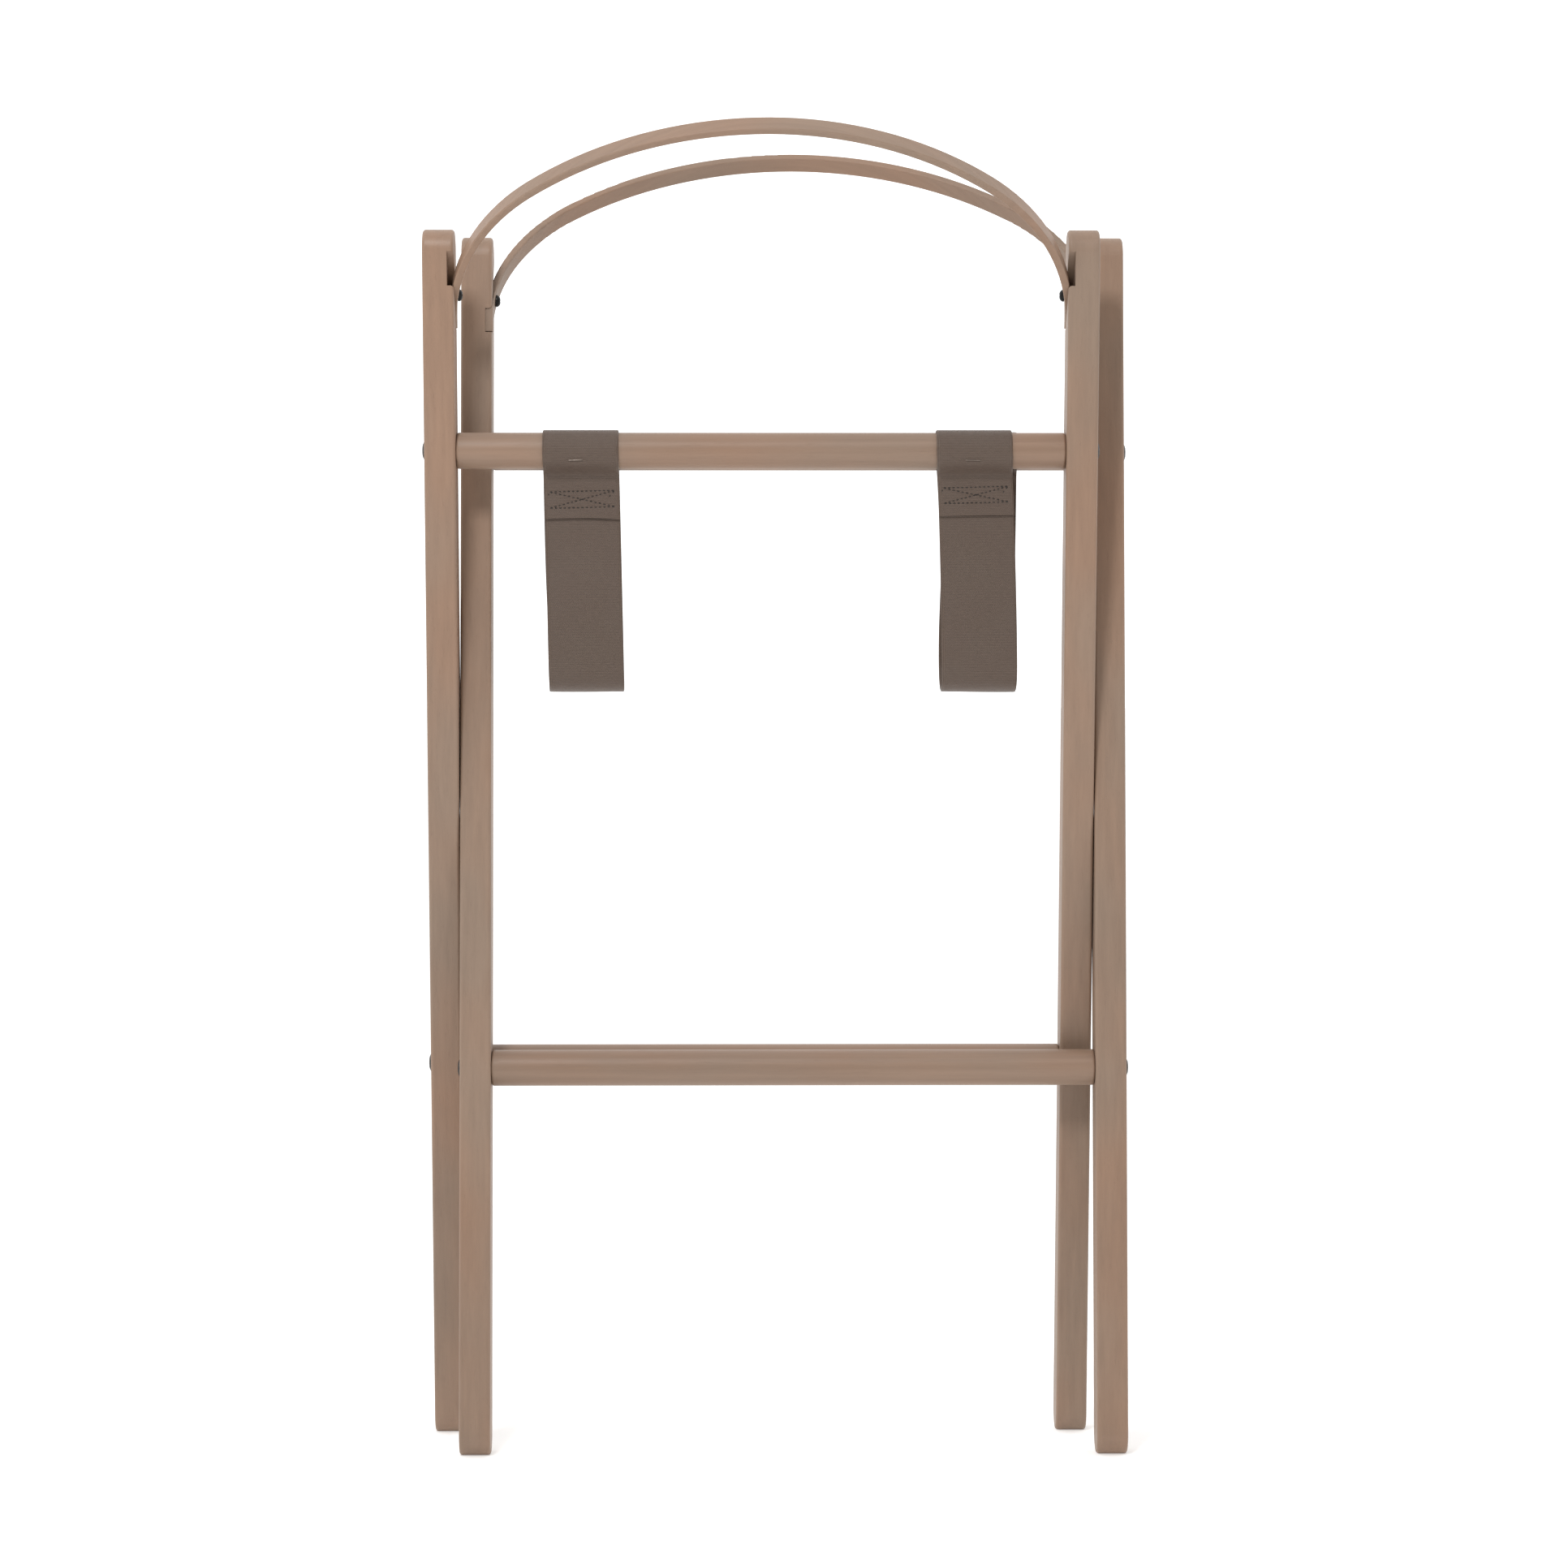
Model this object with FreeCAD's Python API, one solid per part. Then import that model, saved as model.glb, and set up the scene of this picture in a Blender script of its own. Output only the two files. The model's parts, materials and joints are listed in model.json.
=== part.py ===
import FreeCAD, Part
import math
import os

# Folding luggage rack: two identical wooden frames that cross like scissors, each with two legs,
# two round rails and a bent wooden bow, and two webbing straps that hang between the upper rails.
# Millimetres. +Z is up, +X is the rack's left-to-right width, and the front frame's top leans to -Y.
# The origin is on the floor, under the middle of the rack.

V = FreeCAD.Vector

# Frame: one frame's outer width, its leg section and the lengths along a leg from the pivot
FRAME_WIDTH = 444.0
LEG_THICK = 20.8
LEG_DEPTH = 27.5
LEG_UP = 383.7
PIVOT_HEIGHT = 428.1
REST_LEAN = 5.3
LEG_ARRIS = 2.2
FOOT_FLAT_CUT = 0.9
SIDE_GAP = 0.5

# Rails: round rods, at these distances above and below the pivot
RAIL_DIAMETER = 24.0
RAIL_EASE = 1.8
UPPER_RAIL = 238.7
LOWER_RAIL = -173.75

# Rail bolts and the threaded inserts in the rail ends
BOLT_SHANK = 6.0
BOLT_HEAD = 12.0
BOLT_HEAD_RISE = 1.9
BOLT_KEY = 4.0
BOLT_HOLE = 6.4
INSERT_OUTER = 9.0
INSERT_LENGTH = 18.0
INSERT_SLACK = 0.02

# Bow: a flat strip bent in a plane that leans forward, with its ends screwed into grooves in the legs
BOW_LEAN = 37.5
BOW_THICK = 5.0
BOW_WIDTH = 12.4
BOW_HALF_SPAN = 203.2
BOW_RISE = 157.4
BOW_TURN_BELOW_SCREW = 19.4
BOW_SHOULDER_ANGLE = 53.4
BOW_EASE = 1.0
BOW_SCREW = 340.9
FRONT_CROWN_SHIFT = 4.8
REAR_CROWN_SHIFT = 0.4
GROOVE_SLACK = 0.6
GROOVE_END = 22.8
SCREW_SHANK = 4.0
SCREW_HEAD = 8.0
SCREW_HEAD_RISE = 3.0
SCREW_DEPTH = 12.0
SCREW_SEAT = 199.3

# Pivots: a shouldered bolt on each side, hidden under a plug in the outer leg
PIVOT_SHANK = 8.0
PIVOT_HEAD = 13.0
PIVOT_HEAD_RISE = 4.0
PIVOT_POCKET = 14.0
PIVOT_PLUG = 3.0
PIVOT_INSERT = 12.0
PIVOT_INSERT_LENGTH = 14.0
PIVOT_SLACK = 0.05
WASHER_OUTER = 20.0
WASHER_SLACK = 0.02

# Straps: webbing sewn into an eye round each upper rail, hanging as a loop between the two eyes
WEB_WIDTH = 50.0
WEB_THICK = 1.6
WEB_CENTRES = {"left": -129.9, "right": 129.9}
WEB_SKIN = 0.2
STRAND_OFFSET = 20.0
EYE_JOIN_DROP = 27.3
STITCH_MIDDLE_DROP = 32.5
TAIL_END_DROP = 44.8
BEND_DROP = 139.5
FIRST_TURN_END = 22.5
LAST_TURN_START = 67.5
STAPLE_CROWN = 10.7
STAPLE_WIRE = 1.1
STAPLE_LEG = 8.0
STAPLE_BELOW_AXIS = 6.5
WRAP_END_DROP = 9.0

HALF_WIDTH = FRAME_WIDTH / 2
INNER_FACE = HALF_WIDTH - LEG_THICK
FRAME_OFFSET = (LEG_THICK + SIDE_GAP) / 2
FOOT_RADIUS = LEG_DEPTH / 2
FOOT_CENTRE = -(PIVOT_HEIGHT - FOOT_RADIUS + FOOT_FLAT_CUT) / math.cos(math.radians(REST_LEAN))
TOP_CENTRE = LEG_UP - FOOT_RADIUS
RAIL_RADIUS = RAIL_DIAMETER / 2


def cyl(radius, length, x, y, z):
    """A rod along +X that starts at x."""
    return Part.makeCylinder(radius, length, V(x, y, z), V(1, 0, 0))


def block(low, high):
    """A box between two corners."""
    size = [b - a for a, b in zip(low, high)]
    return Part.makeBox(size[0], size[1], size[2], V(*low))


def mirrored_x(shape):
    return shape.mirror(V(0, 0, 0), V(1, 0, 0))


def into_rack(shape):
    """Takes a shape from the frame's own axes to the rack: lean it, lift it, shift it sideways."""
    placed = shape.copy()
    placed.rotate(V(0, 0, 0), V(1, 0, 0), REST_LEAN)
    placed.translate(V(-FRAME_OFFSET, 0, PIVOT_HEIGHT))
    return placed


def turned_round(shape):
    """The same shape for the rear frame: half a turn about the vertical."""
    turned = shape.copy()
    turned.rotate(V(0, 0, 0), V(0, 0, 1), 180)
    return turned


def edges_in_plane(shape, x):
    """Edges that lie wholly in the plane X = x."""
    found = []
    for edge in shape.Edges:
        box = edge.BoundBox
        if abs(box.XMin - x) < 1e-4 and abs(box.XMax - x) < 1e-4:
            found.append(edge)
    return found


# ---- Legs, in the frame's own axes: origin on the pivot, +Z up the leg, -Y its front face ----

def leg_blank(x_low):
    """A straight leg with full-round ends and eased edges."""
    r = FOOT_RADIUS
    left_side = Part.LineSegment(V(x_low, -r, FOOT_CENTRE), V(x_low, -r, TOP_CENTRE))
    top = Part.Arc(V(x_low, -r, TOP_CENTRE), V(x_low, 0, TOP_CENTRE + r), V(x_low, r, TOP_CENTRE))
    right_side = Part.LineSegment(V(x_low, r, TOP_CENTRE), V(x_low, r, FOOT_CENTRE))
    foot = Part.Arc(V(x_low, r, FOOT_CENTRE), V(x_low, 0, FOOT_CENTRE - r), V(x_low, -r, FOOT_CENTRE))
    outline = Part.Wire([piece.toShape() for piece in (left_side, top, right_side, foot)])
    solid = Part.Face(outline).extrude(V(LEG_THICK, 0, 0))
    edges = edges_in_plane(solid, x_low) + edges_in_plane(solid, x_low + LEG_THICK)
    return solid.makeFillet(LEG_ARRIS, edges)


def foot_flat():
    """What is planed off a foot so that it stands flat on the floor in the folded pose."""
    floor = block((-HALF_WIDTH - 5, -100, -PIVOT_HEIGHT - 20), (HALF_WIDTH + 5, 100, -PIVOT_HEIGHT))
    floor.rotate(V(0, 0, 0), V(1, 0, 0), -REST_LEAN)
    return floor


def rail_bolt_holes(x_low):
    holes = [cyl(BOLT_HOLE / 2, LEG_THICK + 2, x_low - 1, 0, z) for z in (UPPER_RAIL, LOWER_RAIL)]
    return holes[0].fuse(holes[1])


def groove(side):
    """The angled groove in a leg's inner face that takes the bow's end. side is -1 left, +1 right."""
    lean = math.radians(BOW_LEAN)
    half = BOW_WIDTH / 2 + GROOVE_SLACK
    along = V(0, -math.sin(lean), math.cos(lean))
    across = V(0, -math.cos(lean), -math.sin(lean))
    screw = V(0, 0, BOW_SCREW)
    depth = BOW_HALF_SPAN + BOW_THICK / 2 + INSERT_SLACK - INNER_FACE
    corners = [
        screw + along * -60 + across * -half,
        screw + along * 60 + across * -half,
        screw + along * 60 + across * half,
        screw + along * -60 + across * half,
    ]
    x_start = INNER_FACE - 1 if side > 0 else -INNER_FACE - depth
    moved = [V(x_start, point.y, point.z) for point in corners]
    band = Part.Face(Part.makePolygon(moved + [moved[0]])).extrude(V(depth + 1, 0, 0))
    below = block((-300, -60, BOW_SCREW - 80), (300, 60, BOW_SCREW - GROOVE_END))
    return band.cut(below)


def screw_hole(side):
    """The pilot hole for a bow screw, from the inner face into the leg."""
    start = SCREW_SEAT if side > 0 else -SCREW_SEAT - SCREW_DEPTH - 6
    return cyl(SCREW_SHANK / 2 + INSERT_SLACK, SCREW_DEPTH + 6, start, 0, BOW_SCREW)


def outer_leg():
    """The leg on the outside of the crossing: the left one of each frame, seen from its own front."""
    x_low = -HALF_WIDTH
    solid = leg_blank(x_low)
    pocket = cyl(PIVOT_POCKET / 2, PIVOT_PLUG + PIVOT_HEAD_RISE, x_low, 0, 0)
    bore = cyl(PIVOT_SHANK / 2 + PIVOT_SLACK, LEG_THICK + 2, x_low - 1, 0, 0)
    for tool in (rail_bolt_holes(x_low), groove(-1), screw_hole(-1), pocket, bore, foot_flat()):
        solid = solid.cut(tool)
    return solid


def inner_leg():
    """The leg on the inside of the crossing, with a blind hole for the pivot's threaded insert."""
    x_low = INNER_FACE
    solid = leg_blank(x_low)
    length = PIVOT_INSERT_LENGTH + 1
    socket = cyl(PIVOT_INSERT / 2 + INSERT_SLACK, length, HALF_WIDTH - length, 0, 0)
    for tool in (rail_bolt_holes(x_low), groove(1), screw_hole(1), socket, foot_flat()):
        solid = solid.cut(tool)
    return solid


# ---- Rails and their fasteners ----

def rail(height):
    """A round rail between the legs, its end edges eased, bored at both ends for an insert."""
    length = 2 * INNER_FACE
    solid = cyl(RAIL_RADIUS, length, -INNER_FACE, 0, height)
    ends = edges_in_plane(solid, -INNER_FACE) + edges_in_plane(solid, INNER_FACE)
    solid = solid.makeFillet(RAIL_EASE, ends)
    deep = INSERT_LENGTH + 4
    radius = INSERT_OUTER / 2 + INSERT_SLACK
    solid = solid.cut(cyl(radius, deep, -INNER_FACE, 0, height))
    return solid.cut(cyl(radius, deep, INNER_FACE - deep, 0, height))


def domed_bolt(height):
    """A rail bolt in the left leg: a low domed head with a hexagon key recess, and a plain shank."""
    r = BOLT_HEAD / 2
    face = -HALF_WIDTH
    rim = 0.7
    top = face - BOLT_HEAD_RISE
    edge = face - rim
    dome = Part.Arc(V(edge, r, 0), V(top + 0.35, r * 0.72, 0), V(top, r * 0.3, 0)).toShape()
    lines = [
        Part.makeLine(V(top, r * 0.3, 0), V(top, 0, 0)),
        Part.makeLine(V(top, 0, 0), V(face, 0, 0)),
        Part.makeLine(V(face, 0, 0), V(face, r, 0)),
        Part.makeLine(V(face, r, 0), V(edge, r, 0)),
    ]
    head = Part.Face(Part.Wire([lines[3], dome, lines[0], lines[1], lines[2]]))
    head = head.revolve(V(0, 0, 0), V(1, 0, 0), 360)
    corner = BOLT_KEY / 2 / math.cos(math.radians(30))
    hexagon = []
    for step in range(7):
        turn = math.radians(60 * step)
        hexagon.append(V(top - 1, corner * math.cos(turn), corner * math.sin(turn)))
    key = Part.Face(Part.makePolygon(hexagon)).extrude(V(2.2, 0, 0))
    shank = cyl(BOLT_SHANK / 2, LEG_THICK + INSERT_LENGTH, face, 0, 0)
    bolt = head.fuse(shank).cut(key)
    bolt.translate(V(0, 0, height))
    return bolt.removeSplitter()


def rail_bolts():
    bolts = []
    for height in (UPPER_RAIL, LOWER_RAIL):
        bolts.append(domed_bolt(height))
        bolts.append(mirrored_x(domed_bolt(height)))
    return Part.makeCompound(bolts)


def rail_insert(height):
    """A threaded insert in the left end of a rail, with coarse outer ribs as turned rings."""
    tube = cyl(INSERT_OUTER / 2, INSERT_LENGTH, -INNER_FACE, 0, height)
    for step in range(5):
        x = -INNER_FACE + 2.5 + step * 3.2
        ring = cyl(INSERT_OUTER / 2 + 1, 1.2, x, 0, height)
        ring = ring.cut(cyl(INSERT_OUTER / 2 - 0.6, 1.2, x, 0, height))
        tube = tube.cut(ring)
    return tube.cut(cyl(BOLT_SHANK / 2 + INSERT_SLACK, INSERT_LENGTH, -INNER_FACE, 0, height))


def rail_inserts():
    inserts = []
    for height in (UPPER_RAIL, LOWER_RAIL):
        inserts.append(rail_insert(height))
        inserts.append(mirrored_x(rail_insert(height)))
    return Part.makeCompound(inserts)


# ---- Bow, drawn flat in the XY plane with its screws on Y = 0, then leaned into place ----

def shoulder_radius(half_span):
    """The shoulder arc's radius for a half bow of this span, so that it meets the crown level."""
    turn = math.radians(BOW_SHOULDER_ANGLE)
    rise = BOW_RISE - half_span * (1 - math.sin(turn)) / math.cos(turn)
    return rise / ((1 - 1 / math.cos(turn)) * (1 - math.sin(turn)) + math.sin(turn))


def half_bow_edges(half_span, crown_x, side, offset):
    """Straight end, shoulder arc and crown arc of one half, offset outwards from the centre line."""
    turn = math.radians(BOW_SHOULDER_ANGLE)
    base = -BOW_TURN_BELOW_SCREW
    small = shoulder_radius(half_span)
    large = small + (half_span - small) / math.cos(turn)
    centre = V(half_span - small, base, 0)
    far = V(0, base - (large - small) * math.sin(turn), 0)

    def on(middle, radius, angle):
        point = middle + V(math.cos(angle), math.sin(angle), 0) * (radius + offset)
        return V(crown_x + side * point.x, point.y, 0)

    end = V(crown_x + side * (half_span + offset), base - 40, 0)
    a = on(centre, small, 0)
    b = on(centre, small, turn / 2)
    c = on(centre, small, turn)
    d = on(far, large, (turn + math.pi / 2) / 2)
    e = on(far, large, math.pi / 2)
    return [Part.makeLine(end, a), Part.Arc(a, b, c).toShape(), Part.Arc(c, d, e).toShape()], end


def bow_blank(crown_x):
    """The bent strip with long ends, its long edges eased."""
    outer = []
    inner = []
    ends = []
    for side in (-1, 1):
        half_span = BOW_HALF_SPAN - side * crown_x
        edges, end = half_bow_edges(half_span, crown_x, side, BOW_THICK / 2)
        outer += edges
        ends.append(end)
        edges, end = half_bow_edges(half_span, crown_x, side, -BOW_THICK / 2)
        inner += edges
        ends.append(end)
    caps = [Part.makeLine(ends[0], ends[1]), Part.makeLine(ends[2], ends[3])]
    outline = Part.Wire(Part.__sortEdges__(outer + inner + caps))
    solid = Part.Face(outline).extrude(V(0, 0, BOW_WIDTH))
    solid.translate(V(0, 0, -BOW_WIDTH / 2))
    rims = []
    for edge in solid.Edges:
        box = edge.BoundBox
        if box.ZLength < 1e-4 and box.YMax - box.YMin > 1.0:
            rims.append(edge)
    return solid.makeFillet(BOW_EASE, rims)


def bow(crown_x):
    """The bow in the frame's axes: leaned forward, trimmed at its ends, drilled for its screws."""
    solid = bow_blank(crown_x)
    solid.rotate(V(0, 0, 0), V(1, 0, 0), 90 + BOW_LEAN)
    solid.translate(V(0, 0, BOW_SCREW))
    end = BOW_SCREW - GROOVE_END + 0.7
    below = block((-300, -200, end - 200), (300, 200, end))
    behind = block((-300, FOOT_RADIUS - 0.8, BOW_SCREW - 200), (300, 200, BOW_SCREW + 20))
    solid = solid.cut(below).cut(behind)
    for side in (-1, 1):
        start = SCREW_SEAT - 2 if side > 0 else -SCREW_SEAT - 10
        solid = solid.cut(cyl(SCREW_SHANK / 2 + 0.1, 12, start, 0, BOW_SCREW))
        start = SCREW_SEAT - 8 if side > 0 else -SCREW_SEAT
        solid = solid.cut(cyl(SCREW_HEAD / 2 + 0.2, 8, start, 0, BOW_SCREW))
    return solid


def pan_screw():
    """A bow screw for the right leg: a domed pan head with a cross recess, and a pointed shank."""
    r = SCREW_HEAD / 2
    seat = SCREW_SEAT
    top = seat - SCREW_HEAD_RISE
    rim = seat - 1.0
    dome = Part.Arc(V(rim, r, 0), V(top + 0.55, r * 0.72, 0), V(top, r * 0.25, 0)).toShape()
    outline = [
        Part.makeLine(V(seat, r, 0), V(rim, r, 0)),
        dome,
        Part.makeLine(V(top, r * 0.25, 0), V(top, 0, 0)),
        Part.makeLine(V(top, 0, 0), V(seat, 0, 0)),
        Part.makeLine(V(seat, 0, 0), V(seat, r, 0)),
    ]
    head = Part.Face(Part.Wire(outline)).revolve(V(0, 0, 0), V(1, 0, 0), 360)
    arm = r * 0.55
    upright = block((top - 1, -0.5, -arm), (top + 1.3, 0.5, arm))
    level = block((top - 1, -arm, -0.5), (top + 1.3, arm, 0.5))
    length = SCREW_DEPTH + INNER_FACE - SCREW_SEAT
    shank = cyl(SCREW_SHANK / 2, length, seat, 0, 0)
    tip = Part.makeCone(SCREW_SHANK / 2, 0.4, 3, V(seat + length, 0, 0), V(1, 0, 0))
    screw = head.fuse(shank).fuse(tip).cut(upright).cut(level)
    screw.translate(V(0, 0, BOW_SCREW))
    return screw.removeSplitter()


def bow_screws():
    return Part.makeCompound([pan_screw(), mirrored_x(pan_screw())])


# ---- Pivots, in rack axes for the left side; the right side is the same, turned round ----

def pivot_bolt():
    """A shouldered bolt whose flat socket head sits in the outer leg, under its plug."""
    outer = -FRAME_OFFSET - HALF_WIDTH
    head_x = outer + PIVOT_PLUG
    head = cyl(PIVOT_HEAD / 2, PIVOT_HEAD_RISE - 0.1, head_x + 0.1, 0, PIVOT_HEIGHT)
    key = cyl(2.5, 2.2, head_x, 0, PIVOT_HEIGHT)
    length = LEG_THICK - PIVOT_PLUG - PIVOT_HEAD_RISE + SIDE_GAP + PIVOT_INSERT_LENGTH
    shank = cyl(PIVOT_SHANK / 2, length, head_x + PIVOT_HEAD_RISE, 0, PIVOT_HEIGHT)
    return head.fuse(shank).cut(key).removeSplitter()


def pivot_washer():
    """The thin washer that keeps the outer and inner legs apart."""
    x = -FRAME_OFFSET - HALF_WIDTH + LEG_THICK + WASHER_SLACK
    thick = SIDE_GAP - 2 * WASHER_SLACK
    disc = cyl(WASHER_OUTER / 2, thick, x, 0, PIVOT_HEIGHT)
    return disc.cut(cyl(PIVOT_SHANK / 2 + PIVOT_SLACK, thick, x, 0, PIVOT_HEIGHT))


def pivot_insert():
    """The threaded insert in the inner leg of the left crossing, which turns on the bolt."""
    x = -FRAME_OFFSET - HALF_WIDTH + LEG_THICK + SIDE_GAP
    tube = cyl(PIVOT_INSERT / 2, PIVOT_INSERT_LENGTH, x, 0, PIVOT_HEIGHT)
    return tube.cut(cyl(PIVOT_SHANK / 2 + PIVOT_SLACK, PIVOT_INSERT_LENGTH, x, 0, PIVOT_HEIGHT))


def pivot_plug():
    """The wooden plug over the left pivot bolt, flush with the outer leg."""
    x = -FRAME_OFFSET - HALF_WIDTH
    return cyl(PIVOT_POCKET / 2 - INSERT_SLACK, PIVOT_PLUG, x, 0, PIVOT_HEIGHT)


# ---- Straps, in rack axes; the side view is drawn for the front half ----

LEAN = math.radians(REST_LEAN)
RAIL_Y = -UPPER_RAIL * math.sin(LEAN)
RAIL_Z = PIVOT_HEIGHT + UPPER_RAIL * math.cos(LEAN)
BEND_Z = RAIL_Z - BEND_DROP


def hull_face(x, radius, low_radius):
    """The outline round the rail and the eye's joining point: two arcs and their two tangents."""
    top = V(x, RAIL_Y, RAIL_Z)
    low = V(x, -STRAND_OFFSET - WEB_THICK / 2, RAIL_Z - EYE_JOIN_DROP)
    line = low - top
    distance = line.Length
    heading = math.atan2(line.z, line.y)
    spread = math.acos((radius - low_radius) / distance)

    def on(middle, size, angle):
        return middle + V(0, math.cos(angle), math.sin(angle)) * size

    a, b = heading + spread, heading - spread
    edges = [
        Part.Arc(on(top, radius, a), on(top, radius, heading + math.pi), on(top, radius, b)).toShape(),
        Part.makeLine(on(top, radius, b), on(low, low_radius, b)),
        Part.Arc(on(low, low_radius, b), on(low, low_radius, heading), on(low, low_radius, a)).toShape(),
        Part.makeLine(on(low, low_radius, a), on(top, radius, a)),
    ]
    return Part.Face(Part.Wire(edges))


def eye(x):
    """The closed eye of webbing round the front upper rail, down to where its two layers meet."""
    inside = RAIL_RADIUS + WEB_SKIN
    outer = hull_face(x, inside + WEB_THICK, WEB_THICK + 0.15).extrude(V(WEB_WIDTH, 0, 0))
    inner = hull_face(x, inside, 0.15).extrude(V(WEB_WIDTH, 0, 0))
    return outer.cut(inner)


def strand(x, layer, top_drop, low_drop):
    """A straight run of webbing. layer 0 is the load strand, layer 1 the sewn tail in front of it."""
    y = -STRAND_OFFSET - WEB_THICK / 2 - layer * (WEB_THICK + 0.1)
    return block((x, y, RAIL_Z - low_drop), (x + WEB_WIDTH, y + WEB_THICK, RAIL_Z - top_drop))


def strap_wrap(x):
    """The part of the eye that grips the rail."""
    return eye(x).common(block((x, -100, RAIL_Z - WRAP_END_DROP), (x + WEB_WIDTH, 0, RAIL_Z + 50)))


def strap_eye(x):
    """The eye's two converging layers, the sewn tail, and the load strand down to the turn."""
    top = RAIL_Z - WRAP_END_DROP - 0.1
    lower = eye(x).common(block((x, -100, top - 60), (x + WEB_WIDTH, 0, top)))
    tail = strand(x, 1, EYE_JOIN_DROP, TAIL_END_DROP)
    load = strand(x, 0, EYE_JOIN_DROP, BEND_DROP)
    joined = lower.fuse(load).fuse(tail)
    bridge = block((x, -STRAND_OFFSET - WEB_THICK, RAIL_Z - STITCH_MIDDLE_DROP),
                   (x + WEB_WIDTH, -STRAND_OFFSET, RAIL_Z - EYE_JOIN_DROP))
    return joined.fuse(bridge).removeSplitter()


def strap_turn(x, start, stop):
    """Part of the turn at the foot of the loop, from start to stop degrees round it."""
    outer = STRAND_OFFSET + WEB_THICK / 2
    inner = STRAND_OFFSET - WEB_THICK / 2
    wedge = Part.makeCylinder(outer, WEB_WIDTH, V(0, 0, 0), V(0, 0, 1), stop - start)
    turn = wedge.cut(Part.makeCylinder(inner, WEB_WIDTH, V(0, 0, 0), V(0, 0, 1), stop - start))
    turn.rotate(V(0, 0, 0), V(0, 0, 1), start)
    turn.transformShape(FreeCAD.Matrix(0, 0, 1, x, -1, 0, 0, 0, 0, -1, 0, BEND_Z, 0, 0, 0, 1))
    return turn


def behind(shape):
    """The rear half's copy of a front-half strap shape, at the same place across the rack."""
    return shape.mirror(V(0, 0, 0), V(0, 1, 0))


def staple(x):
    """A wire staple, crown outermost, driven through the wrap into the front of the upper rail."""
    drop = math.degrees(math.asin(STAPLE_BELOW_AXIS / RAIL_RADIUS))
    reach = RAIL_RADIUS + WEB_SKIN + WEB_THICK
    wire = block((x - STAPLE_CROWN / 2, -reach - 0.5, -STAPLE_WIRE / 2),
                 (x + STAPLE_CROWN / 2, -reach + 0.1, STAPLE_WIRE / 2))
    for side in (-1, 1):
        middle = x + side * (STAPLE_CROWN / 2 - STAPLE_WIRE / 4)
        leg = block((middle - STAPLE_WIRE / 4, -reach, -STAPLE_WIRE / 2),
                    (middle + STAPLE_WIRE / 4, -reach + STAPLE_LEG, STAPLE_WIRE / 2))
        wire = wire.fuse(leg)
    wire.rotate(V(0, 0, 0), V(1, 0, 0), drop)
    wire.translate(V(0, RAIL_Y, RAIL_Z))
    return wire.removeSplitter()


def front_staples():
    return Part.makeCompound([staple(x) for x in WEB_CENTRES.values()])


# ---- Writing the parts ----

def export(name, shape):
    shape.exportStep("parts/" + name + ".step")


def frame_parts(crown_shift):
    return {
        "outer_leg": outer_leg(),
        "inner_leg": inner_leg(),
        "upper_rail": rail(UPPER_RAIL),
        "lower_rail": rail(LOWER_RAIL),
        "bow": bow(crown_shift),
        "bow_screws": bow_screws(),
        "rail_bolts": rail_bolts(),
        "rail_inserts": rail_inserts(),
    }


def export_frames(staples):
    for name, shape in frame_parts(FRONT_CROWN_SHIFT).items():
        placed = into_rack(shape)
        if name == "upper_rail":
            placed = placed.cut(staples)
        export("front_" + name, placed)
    for name, shape in frame_parts(-REAR_CROWN_SHIFT).items():
        placed = turned_round(into_rack(shape))
        if name == "upper_rail":
            placed = placed.cut(behind(staples))
        export("rear_" + name, placed)


def export_pivots():
    export("pivot_bolts", Part.makeCompound([pivot_bolt(), turned_round(pivot_bolt())]))
    export("pivot_washers", Part.makeCompound([pivot_washer(), turned_round(pivot_washer())]))
    export("rear_pivot_insert", pivot_insert())
    export("front_pivot_insert", turned_round(pivot_insert()))
    export("front_pivot_plug", pivot_plug())
    export("rear_pivot_plug", turned_round(pivot_plug()))


def export_straps(staples):
    for side, centre in WEB_CENTRES.items():
        x = centre - WEB_WIDTH / 2
        wrap = strap_wrap(x).cut(staples)
        front_half = {
            "wrap": wrap,
            "web": strap_eye(x).fuse(strap_turn(x, 0, FIRST_TURN_END)).removeSplitter(),
            "bend": strap_turn(x, FIRST_TURN_END, LAST_TURN_START),
            "bottom": strap_turn(x, LAST_TURN_START, 90),
        }
        for name, shape in front_half.items():
            export(side + "_strap_front_" + name, shape)
            export(side + "_strap_rear_" + name, behind(shape))
    export("front_strap_staples", staples)
    export("rear_strap_staples", behind(staples))


os.makedirs("parts", exist_ok=True)
front_staple_pair = front_staples()
export_frames(front_staple_pair)
export_pivots()
export_straps(front_staple_pair)
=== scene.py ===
import json
import math

import bpy
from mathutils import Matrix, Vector, noise


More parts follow.
